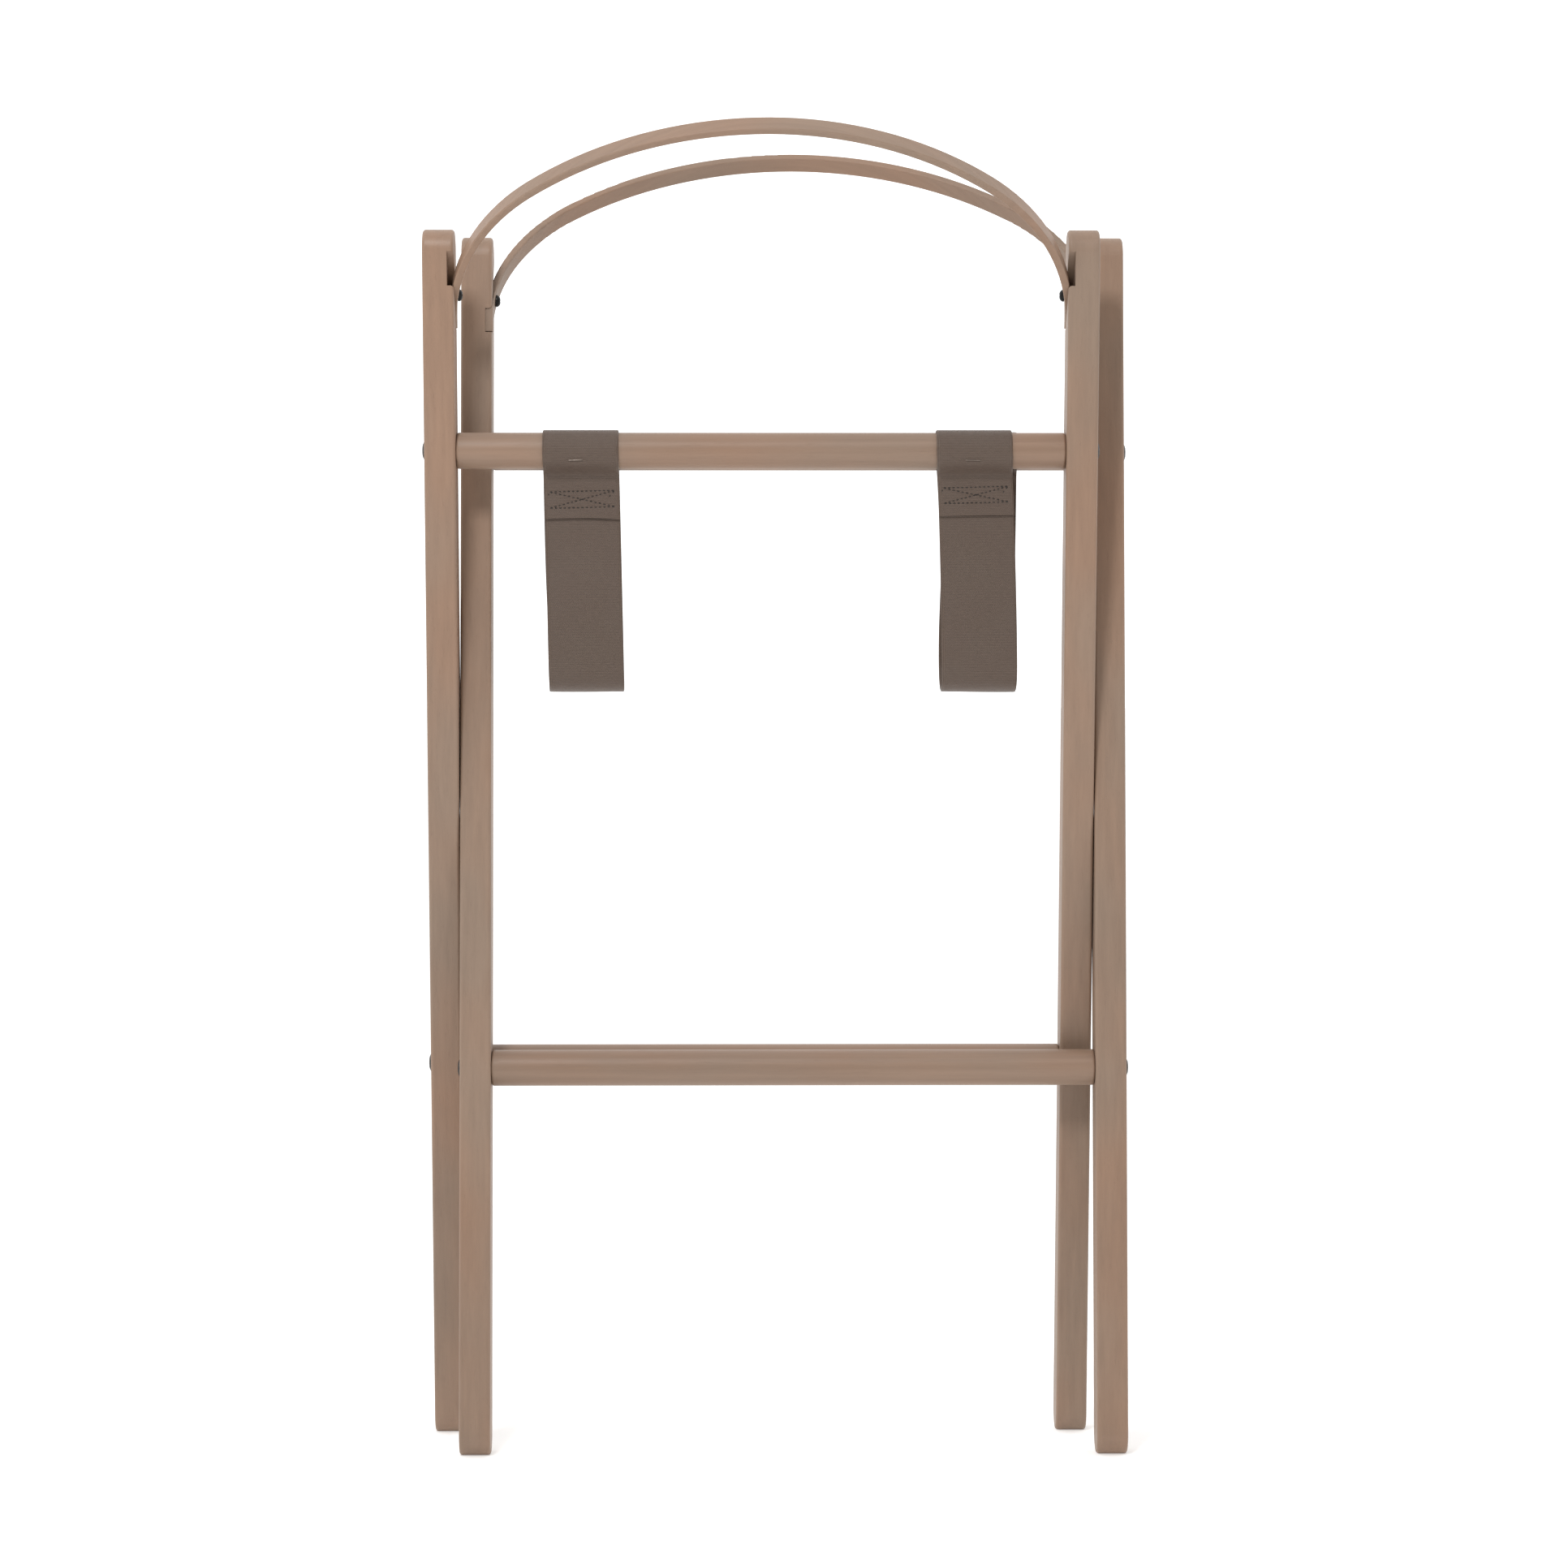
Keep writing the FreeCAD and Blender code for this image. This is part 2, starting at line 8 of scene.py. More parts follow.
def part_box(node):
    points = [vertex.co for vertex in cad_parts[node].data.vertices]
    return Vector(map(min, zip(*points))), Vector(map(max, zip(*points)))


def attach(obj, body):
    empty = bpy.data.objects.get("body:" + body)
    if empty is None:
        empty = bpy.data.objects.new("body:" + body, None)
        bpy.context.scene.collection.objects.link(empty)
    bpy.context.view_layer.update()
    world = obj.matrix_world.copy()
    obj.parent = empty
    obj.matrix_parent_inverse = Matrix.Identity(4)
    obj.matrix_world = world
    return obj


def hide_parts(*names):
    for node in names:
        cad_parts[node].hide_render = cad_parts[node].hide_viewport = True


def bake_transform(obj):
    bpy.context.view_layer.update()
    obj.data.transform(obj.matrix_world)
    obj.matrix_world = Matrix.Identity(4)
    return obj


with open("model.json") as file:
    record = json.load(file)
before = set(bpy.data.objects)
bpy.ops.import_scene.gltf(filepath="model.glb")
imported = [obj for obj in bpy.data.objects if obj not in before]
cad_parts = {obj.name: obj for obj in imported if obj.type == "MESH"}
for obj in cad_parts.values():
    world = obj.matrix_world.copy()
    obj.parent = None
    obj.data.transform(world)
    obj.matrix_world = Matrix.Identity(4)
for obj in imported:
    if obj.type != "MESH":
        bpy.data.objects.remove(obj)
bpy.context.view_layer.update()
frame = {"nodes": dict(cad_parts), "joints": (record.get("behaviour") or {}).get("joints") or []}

# The looks of a folding luggage rack, in metres: paint and metal finishes for the CAD's pieces, and two
# webbing straps with their stitching and staples. The front frame's top leans to -Y, and the camera looks
# along +Y.

MM = 0.001
HALVES = ("front", "rear")
JOINTS = {joint["name"]: joint for joint in frame["joints"]}

# ---- Webbing ----
WEB_THICK = 1.6 * MM
RIB_PITCH = 1.1 * MM
YARN_PITCH = 0.9 * MM
# Cords run along both edges, SELVEDGE_PITCH apart, and fade in between two distances from the middle.
SELVEDGE_PITCH = 1.0 * MM
SELVEDGE_START = 22.6 * MM
SELVEDGE_FULL = 23.4 * MM

# Its mesh: points round each edge, columns across it, and the spacing of its rings, which is CURVED_STEP from
# EYE_LEAD before the eye to EYE_TRAIL past it, and from TURN_LEAD before the turn.
EDGE_STEPS = 3
WEB_COLUMNS = 32
SEWN_STEP = 0.6 * MM
CURVED_STEP = 0.9 * MM
PLAIN_STEP = 2.4 * MM
SHORTEST_STEP = 0.3 * MM
EYE_LEAD = 12 * MM
EYE_TRAIL = 15 * MM
TURN_LEAD = 3 * MM

# ---- How a strap leaves the rail ----
# It lies on the rail until LEAVE_ANGLE under the rail's sides, runs straight, and bends to hang.
RAIL_GAP = 0.2 * MM
TAIL_GAP = 0.15 * MM
LEAVE_ANGLE = 60.0
BEND_RADIUS = 6 * MM
# The grip on the rail ends at this depth under the rail's middle.
GRIP_END_DROP = 9 * MM

# ---- How a strap hangs ----
# Each list has a value at some distances round the loop, in millimetres from the front rail's middle down,
# round and up to the rear one's, which is about 342. drift moves the webbing sideways and curl moves its two
# edges inwards, in millimetres, and twist is the slope of its face. Inwards is towards the loop's middle.
# tail_end and rows are depths under the rail's middle, of the cut end and the two rows of stitches. cut_bow
# and cut_slant shape the cut end, ripple_seed makes the two straps ripple differently, staple_shift is
# towards -X, and staple_turn is in degrees.
STRAPS = {
    "left": {
        "tail_end": 44.8 * MM,
        "rows": (26.6 * MM, 37.4 * MM),
        "cut_bow": 0.8 * MM,
        "cut_slant": 0.2 * MM,
        "drift": [(0, 0), (45, 1.1), (150, 3.3), (171, 2.9), (216, 1.4), (262, -0.4), (342, -2.0)],
        "twist": [(0, 0), (45, 0.01), (90, -0.02), (130, 0.03), (171, 0), (260, 0.02), (342, 0)],
        "curl": [(0, 0), (40, 0.1), (90, 0.6), (171, 0.2), (250, 0.5), (342, 0)],
        "ripple_seed": 40.32,
        "staple_shift": 3.1 * MM,
        "staple_turn": 3.0,
    },
    "right": {
        "tail_end": 42.6 * MM,
        "rows": (23.9 * MM, 34.2 * MM),
        "cut_bow": 0.1 * MM,
        "cut_slant": -0.9 * MM,
        "drift": [(0, 0), (45, 2.3), (150, 4.6), (171, 4.5), (216, 4.3), (262, 5.6), (342, 6.5)],
        "twist": [(0, 0), (45, -0.01), (100, -0.035), (150, -0.01), (171, 0), (250, -0.03), (342, 0)],
        "curl": [(0, 0), (40, 0.1), (100, 0.7), (171, 0.2), (250, 0.4), (342, 0)],
        "ripple_seed": 38.34,
        "staple_shift": 1.0 * MM,
        "staple_turn": -1.5,
    },
}
# Both straps belly out between the rails and the turn, by these millimetres. Less than 0 is outwards.
BELLY = [(0, 0), (45, 0), (118, -2.6), (143, -1.6), (171, 0), (199, -1.6), (224, -2.6), (297, 0), (342, 0)]
RIPPLE = 0.45 * MM
RIPPLES_PER_METRE_ACROSS = 22
RIPPLES_PER_MM_ALONG = 0.028
# Twist, curl, belly and ripples fade in over FREE_LENGTH under the grip, and the cut end's shape fades out
# over CUT_FADE.
FREE_LENGTH = 25 * MM
CUT_FADE = 4 * MM
# Each half stops this far short of the loop's lowest line, so that the two don't touch.
MIDDLE_GAP = 0.04 * MM

# ---- Stitches: two slanted rows with a cross between them, and a short tack from each end of the upper ----
STITCH_LENGTH = 2.1 * MM
STITCH_PITCH = 2.9 * MM
STITCH_INSET = 3.2 * MM
STITCH_MARGIN = 2 * MM
ROW_SLANT = 1.1 * MM
END_TACK = (4.5 * MM, 4.2 * MM)
START_TACK = (0.6 * MM, 4 * MM)
THREAD_RADIUS = 0.34 * MM
THREAD_SIDES = 6
THREAD_STEPS = 6
PUCKER = 0.4 * MM
PUCKER_REACH = 0.9 * MM

# ---- Staples: STAPLE_WIRE is the wire's radius, and the dent fades over its two reaches ----
STAPLE_WIDTH = 10.7 * MM
STAPLE_WIRE = 0.55 * MM
STAPLE_LEG = 3 * MM
STAPLE_SHOULDER = 0.9 * MM
STAPLE_SIDES = 8
STAPLE_BEND_STEPS = 6
STAPLE_DROP = 6.5 * MM
STAPLE_DENT = 0.7 * MM
DENT_REACH_ACROSS = 1.2 * MM
DENT_REACH_DOWN = 1.3 * MM

# ---- Places that the frame gives ----
RAIL_Y, RAIL_Z = JOINTS["front_web_swing"]["pos_m"][1:]
rail_low, rail_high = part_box("front_upper_rail")
RAIL_RADIUS = (rail_high.z - rail_low.z) / 2
# The strap's turn is a quarter circle for each half. Its two hinges stand 22.5 and 67.5 degrees round it, on
# a circle so large that they are as far apart as 45 degrees of the turn are long.
BEND_HINGE = Vector(JOINTS["front_web_bend"]["pos_m"])
BOTTOM_HINGE = Vector(JOINTS["front_web_bottom"]["pos_m"])
HINGE_RADIUS = math.hypot(BEND_HINGE.y, BOTTOM_HINGE.y)
TURN_DEGREES = 45
TURN_STEP = math.radians(TURN_DEGREES)
LOOP_RADIUS = 2 * HINGE_RADIUS * math.sin(TURN_STEP / 2) / TURN_STEP
LOOP_Z = BEND_HINGE.z - BOTTOM_HINGE.y
STRAND_LENGTH = RAIL_Z - LOOP_Z
HALF_LOOP = STRAND_LENGTH + LOOP_RADIUS * math.pi / 2

# ---- Paint, floor, light and camera ----
# The rails get the legs' paint made darker by this share: painted shade for the rails' darker fronts.
RAIL_PAINTED_SHADE = 0.95
BOW_SINK = 0.06
FLOOR_REACH = 14.0
FLOOR_GLOW = 0.31
KEY_PLACE = (-0.68, -1.94, 2.44)
KEY_TARGET = (0, 0, 0.45)
KEY_SIZE = 0.5
KEY_POWER = 39
CAMERA_PLACE = (-0.02898, -2.7963, 0.59336)
CAMERA_DOWN = 3.059
CAMERA_TURN = -0.690
CAMERA_LENS = 96.01
CAMERA_SENSOR = 36


# ---- Small helpers ----

def through(knots, where):
    """A smooth curve through (place, value) knots, read at one place: a cubic between each two."""
    if where <= knots[0][0]:
        return knots[0][1]
    if where >= knots[-1][0]:
        return knots[-1][1]
    index = max(i for i, knot in enumerate(knots) if knot[0] <= where)

    def slope(i):
        before, after = knots[max(i - 1, 0)], knots[min(i + 1, len(knots) - 1)]
        return (after[1] - before[1]) / (after[0] - before[0])

    (x0, y0), (x1, y1) = knots[index], knots[index + 1]
    span = x1 - x0
    t = (where - x0) / span
    keep = 2 * t ** 3 - 3 * t ** 2 + 1
    return (keep * y0 + (1 - keep) * y1 + (t ** 3 - 2 * t ** 2 + t) * span * slope(index)
            + (t ** 3 - t ** 2) * span * slope(index + 1))


def gap_to_line(point, a, b):
    """The distance in the plane from a point to the line between a and b."""
    run = (b[0] - a[0], b[1] - a[1])
    size = run[0] ** 2 + run[1] ** 2
    t = ((point[0] - a[0]) * run[0] + (point[1] - a[1]) * run[1]) / size
    t = min(1.0, max(0.0, t))
    return math.hypot(point[0] - a[0] - t * run[0], point[1] - a[1] - t * run[1])


def tube_faces(rings, sides, base=0, flip=False):
    """The faces of a closed tube whose points stand ring by ring: its sides, then its first and last ends."""
    faces = []
    for ring in range(rings - 1):
        near, far = base + ring * sides, base + (ring + 1) * sides
        for i in range(sides):
            j = (i + 1) % sides
            faces.append((near + i, near + j, far + j, far + i))
    last = base + (rings - 1) * sides
    faces.append(tuple(reversed(range(base, base + sides))))
    faces.append(tuple(range(last, last + sides)))
    return [tuple(reversed(face)) for face in faces] if flip else faces


def mesh_object(name, points, faces, materials, face_material=None, uvs=None, sharp=40):
    """A smooth-shaded object from plain lists, with sharp edges where it turns by more than sharp degrees."""
    mesh = bpy.data.meshes.new(name)
    mesh.from_pydata(points, [], faces)
    for material in materials:
        mesh.materials.append(material)
    if face_material:
        mesh.polygons.foreach_set("material_index", face_material)
    if uvs:
        layer = mesh.uv_layers.new(name="web")
        flat = [value for face in mesh.polygons for corner in face.vertices for value in uvs[corner]]
        layer.data.foreach_set("uv", flat)
    mesh.polygons.foreach_set("use_smooth", [True] * len(mesh.polygons))
    mesh.set_sharp_from_angle(angle=math.radians(sharp))
    mesh.validate()
    made = bpy.data.objects.new(name, mesh)
    bpy.context.scene.collection.objects.link(made)
    return made


# ---- Materials ----

class Nodes:
    """The node tree of a material or a world, with short calls for the nodes that these looks use."""

    def __init__(self, owner, shader="Principled BSDF"):
        owner.use_nodes = True
        self.owner = owner
        self.tree = owner.node_tree
        self.shader = self.tree.nodes[shader]

    def fill(self, socket, value):
        """Links a socket to another node's output, or gives it a plain value."""
        if isinstance(value, bpy.types.NodeSocket):
            self.tree.links.new(value, socket)
        else:
            socket.default_value = value

    def put(self, kind, inputs=None, **settings):
        node = self.tree.nodes.new(kind)
        for key, value in settings.items():
            setattr(node, key, value)
        for key, value in (inputs or {}).items():
            self.fill(node.inputs[key], value)
        return node

    def coordinates(self, kind="Object"):
        return self.put("ShaderNodeTexCoord").outputs[kind]

    def axes(self, vector):
        return self.put("ShaderNodeSeparateXYZ", {0: vector}).outputs

    def vector(self, x, y, z):
        return self.put("ShaderNodeCombineXYZ", {0: x, 1: y, 2: z}).outputs[0]

    def math(self, operation, first, second=0.0):
        return self.put("ShaderNodeMath", {0: first, 1: second}, operation=operation).outputs[0]

    def wave(self, turns):
        """From 0 up to 1 and back in each unit of turns."""
        return self.math("ABSOLUTE", self.math("SINE", self.math("MULTIPLY", turns, math.pi)))

    def noise(self, vector, scale, detail=3.0, rough=0.5):
        """Noise of this many cells to the metre."""
        inputs = {"Vector": vector, "Scale": scale, "Detail": detail, "Roughness": rough}
        return self.put("ShaderNodeTexNoise", inputs).outputs["Fac"]

    def stretched(self, vector, scale):
        return self.put("ShaderNodeMapping", {"Vector": vector, "Scale": scale}).outputs[0]

    def between(self, value, low, high, from_low=0.0, from_high=1.0):
        """Maps from_low to from_high onto low to high."""
        inputs = {0: value, 1: from_low, 2: from_high, 3: low, 4: high}
        return self.put("ShaderNodeMapRange", inputs).outputs[0]

    def mix(self, share, first, second, blend="MIX"):
        node = self.put("ShaderNodeMix", data_type="RGBA", blend_type=blend)
        for key, value in (("Factor_Float", share), ("A_Color", first), ("B_Color", second)):
            self.fill(next(socket for socket in node.inputs if socket.identifier == key), value)
        return next(socket for socket in node.outputs if socket.identifier == "Result_Color")

    def toned(self, colour, tone):
        """A colour made lighter or darker by a tone about 1."""
        grey = self.put("ShaderNodeCombineColor", {0: tone, 1: tone, 2: tone}).outputs[0]
        return self.mix(1.0, colour, grey, "MULTIPLY")

    def finish(self, colour, roughness=None, height=None, depth=0.0, strength=1.0, **constants):
        """Connects the shader, with height as a relief of this depth, and sets its constants."""
        self.fill(self.shader.inputs["Base Color"], colour)
        if roughness is not None:
            self.fill(self.shader.inputs["Roughness"], roughness)
        if height is not None:
            inputs = {"Height": height, "Distance": depth, "Strength": strength}
            self.fill(self.shader.inputs["Normal"], self.put("ShaderNodeBump", inputs).outputs[0])
        for key, value in constants.items():
            self.shader.inputs[key.replace("_", " ")].default_value = value
        return self.owner


def new_material(name):
    return Nodes(bpy.data.materials.new(name))


def grain_coordinates(nodes, grain):
    """Object coordinates in metres with the grain along Z. grain is "leg", "rail" or "bow"."""
    place = nodes.coordinates()
    if grain == "leg":
        return place
    axes = nodes.axes(place)
    if grain == "rail":
        return nodes.vector(axes[1], axes[2], axes[0])
    # A bow is taken as an arc whose centre lies BOW_SINK under its ends.
    low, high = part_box("front_bow")
    rise = nodes.math("SUBTRACT", axes[2], low.z - BOW_SINK)
    turn = nodes.math("ARCTAN2", axes[0], rise)
    along = nodes.math("MULTIPLY", turn, (high.z - low.z) + BOW_SINK)
    squares = [nodes.math("MULTIPLY", axis, axis) for axis in (axes[0], rise)]
    out = nodes.math("SQRT", nodes.math("ADD", *squares))
    return nodes.vector(out, axes[1], along)


def painted_wood(grain, painted_shade=1.0):
    """Satin taupe paint over close-grained hardwood: long faint streaks, filled pores, uneven coats."""
    nodes = new_material("painted_" + grain)
    place = grain_coordinates(nodes, grain)
    # A share under 1 darkens the whole paint as painted shade; only the rails use it.
    warm = [value * painted_shade for value in (0.288, 0.180, 0.121)] + [1]
    cool = [value * painted_shade for value in (0.262, 0.186, 0.136)] + [1]
    coats = nodes.noise(nodes.stretched(place, (1, 1, 0.45)), 16, 2)
    colour = nodes.mix(nodes.between(coats, 0, 1, 0.35, 0.65), warm, cool)
    streaks = nodes.noise(nodes.stretched(place, (1, 1, 0.03)), 260, 4, 0.6)
    pores = nodes.noise(nodes.stretched(place, (1, 1, 0.045)), 1500, 2, 0.5)
    pits = nodes.between(pores, 0, 1, 0.62, 0.72)
    wide = nodes.noise(place, 5, 2)
    tone = nodes.between(streaks, 0.93, 1.06, 0.3, 0.7)
    tone = nodes.math("SUBTRACT", tone, nodes.math("MULTIPLY", pits, 0.05))
    tone = nodes.math("MULTIPLY", tone, nodes.between(wide, 0.96, 1.04, 0.35, 0.65))
    roughness = nodes.between(coats, 0.43, 0.55, 0.3, 0.7)
    orange_peel = nodes.noise(place, 420, 2)
    height = nodes.math("SUBTRACT", nodes.math("MULTIPLY", streaks, 0.5), nodes.math("MULTIPLY", pits, 0.35))
    height = nodes.math("ADD", height, nodes.math("MULTIPLY", orange_peel, 0.25))
    return nodes.finish(nodes.toned(colour, tone), roughness, height, 0.00025, 0.5, Specular_IOR_Level=0.42)


def webbing():
    """Woven webbing: cross ribs, warp yarns over and under, a corded selvedge, and a soft sheen. Its UV
    coordinates are metres across and along the strap."""
    nodes = new_material("strap_webbing")
    web = nodes.put("ShaderNodeUVMap", uv_map="web").outputs[0]
    across, along = nodes.axes(web)[:2]
    ribs_run = nodes.math("DIVIDE", along, RIB_PITCH)
    rib = nodes.math("POWER", nodes.wave(ribs_run), 0.6)
    stagger = nodes.math("MULTIPLY", nodes.math("FLOOR", ribs_run), 0.5)
    yarn = nodes.wave(nodes.math("ADD", nodes.math("DIVIDE", across, YARN_PITCH), stagger))
    weave = nodes.math("MULTIPLY", rib, nodes.between(yarn, 0.55, 1.0))
    out = nodes.math("ABSOLUTE", across)
    selvedge = nodes.between(out, 0, 1, SELVEDGE_START, SELVEDGE_FULL)
    cords = nodes.wave(nodes.math("DIVIDE", out, SELVEDGE_PITCH))
    weave = nodes.put("ShaderNodeMix", {0: selvedge, 2: weave, 3: cords}, data_type="FLOAT").outputs[0]
    fibres = nodes.noise(nodes.stretched(web, (1, 0.35, 1)), 5200, 2)
    slubs = nodes.noise(nodes.stretched(web, (0.25, 1, 1)), 900, 3)
    wide = nodes.noise(web, 28, 2)
    # The colour follows the weave's relief and is darker in the hollows between ribs, yarns and selvedge
    # cords: painted shade.
    tone = nodes.math("ADD", nodes.between(weave, 0.66, 1.1), nodes.between(fibres, -0.16, 0.16, 0.3, 0.7))
    tone = nodes.math("ADD", tone, nodes.between(slubs, -0.06, 0.06, 0.3, 0.7))
    tone = nodes.math("MULTIPLY", tone, nodes.between(wide, 0.96, 1.04, 0.3, 0.7))
    colour = nodes.mix(wide, (0.116, 0.079, 0.060, 1), (0.106, 0.078, 0.061, 1))
    roughness = nodes.between(fibres, 0.42, 0.56, 0.3, 0.7)
    return nodes.finish(nodes.toned(colour, tone), roughness, weave, 0.00022, 0.7,
                        Specular_IOR_Level=0.3, Sheen_Weight=0.05, Sheen_Roughness=0.4)


def cut_webbing():
    """A strap's heat-sealed end: harder, slightly glossy, near black partly from sealing, partly painted
    shade.
    """
    nodes = new_material("webbing_cut_end")
    lumps = nodes.noise(nodes.coordinates(), 1400, 3)
    # Near black: partly the sealed yarn's own darkening, partly painted shade for the shadow line under the
    # tail's cut end.
    colour = nodes.mix(lumps, (0.022, 0.016, 0.013, 1), (0.05, 0.038, 0.03, 1))
    return nodes.finish(colour, nodes.between(lumps, 0.35, 0.55), lumps, 0.0003, 0.8)


def thread():
    """Dark sewing thread, its tone varied by the twist of its fibres."""
    nodes = new_material("strap_thread")
    twist = nodes.noise(nodes.coordinates(), 3500, 2)
    colour = nodes.mix(twist, (0.008, 0.006, 0.005, 1), (0.032, 0.024, 0.019, 1))
    return nodes.finish(colour, nodes.between(twist, 0.45, 0.65), twist, 0.0001, 0.6)


def metal(name, dark, light, rough, scratch_axis=(1, 1, 1), metallic=1.0):
    """A metal finish that varies between two colours, with fine scratches and handling marks."""
    nodes = new_material(name)
    place = nodes.coordinates()
    marks = nodes.noise(nodes.stretched(place, scratch_axis), 900, 4, 0.6)
    cloud = nodes.noise(place, 160, 2)
    colour = nodes.mix(nodes.between(cloud, 0, 1, 0.3, 0.7), (*dark, 1), (*light, 1))
    roughness = nodes.between(marks, rough - 0.08, rough + 0.12, 0.3, 0.7)
    return nodes.finish(colour, roughness, marks, 0.00005, 0.35, Metallic=metallic)


def finish_cad_nodes():
    """Gives each CAD node that stays its material, found by how the node's name ends, and smooth shading."""
    leg, rail, bow = painted_wood("leg"), painted_wood("rail", RAIL_PAINTED_SHADE), painted_wood("bow")
    bronze = metal("dark_bronze_bolt", (0.014, 0.009, 0.006), (0.03, 0.02, 0.013), 0.45, metallic=0.35)
    black = metal("black_oxide_screw", (0.008, 0.008, 0.008), (0.02, 0.019, 0.018), 0.34, metallic=0.8)
    steel = metal("zinc_plated_steel", (0.42, 0.42, 0.43), (0.55, 0.55, 0.56), 0.34, (1, 6, 6))
    brass = metal("turned_brass", (0.55, 0.38, 0.14), (0.66, 0.48, 0.2), 0.3, (8, 1, 1))
    finishes = {"leg": leg, "rail": rail, "bow": bow, "pivot_plug": leg, "bow_screws": black,
                "rail_bolts": bronze, "rail_inserts": brass, "pivot_insert": brass, "pivot_bolts": steel,
                "pivot_washers": steel}
    for name, part in frame["nodes"].items():
        mesh = part.data
        mesh.polygons.foreach_set("use_smooth", [True] * len(mesh.polygons))
        for ending, material in finishes.items():
            if name.endswith(ending):
                mesh.materials.clear()
                mesh.materials.append(material)
                mesh.polygons.foreach_set("material_index", [0] * len(mesh.polygons))


# ---- The strap's path in side view ----

class Path:
    """Straight runs and arcs in the YZ plane, read by distance from the start."""

    def __init__(self, start, heading):
        self.runs = []
        self.y, self.z, self.heading, self.length = start[0], start[1], math.radians(heading), 0.0

    def add(self, length, turn=0.0):
        """Adds a run that turns by this many degrees from +Y towards +Z, and returns the length so far."""
        curve = math.radians(turn) / length
        self.runs.append((self.length, self.y, self.z, self.heading, curve))
        self.length += length
        self.y, self.z, self.heading = self.read(self.length)
        return self.length

    def read(self, distance):
        """Y, Z and heading at a distance. Past its end, the path's last run goes on."""
        start, y, z, heading, curve = [run for run in self.runs if run[0] <= distance + 1e-9][-1]
        ahead = distance - start
        if abs(curve) < 1e-9:
            return y + ahead * math.cos(heading), z + ahead * math.sin(heading), heading
        later = heading + curve * ahead
        return (y + (math.sin(later) - math.sin(heading)) / curve,
                z - (math.cos(later) - math.cos(heading)) / curve, later)


def neck(wrap, shift):
    """The straight run that leaves the rail, and the depth under the rail's middle at which the bend after it
    ends. wrap is the radius of the webbing's middle round the rail. The webbing then hangs past the rail's
    middle by shift, seen from the side where it left."""
    leave = math.radians(LEAVE_ANGLE)
    inwards = wrap * math.cos(leave) + shift
    run = (inwards - BEND_RADIUS * (1 - math.cos(leave))) / math.sin(leave)
    return run, (wrap + BEND_RADIUS) * math.sin(leave) + run * math.cos(leave)


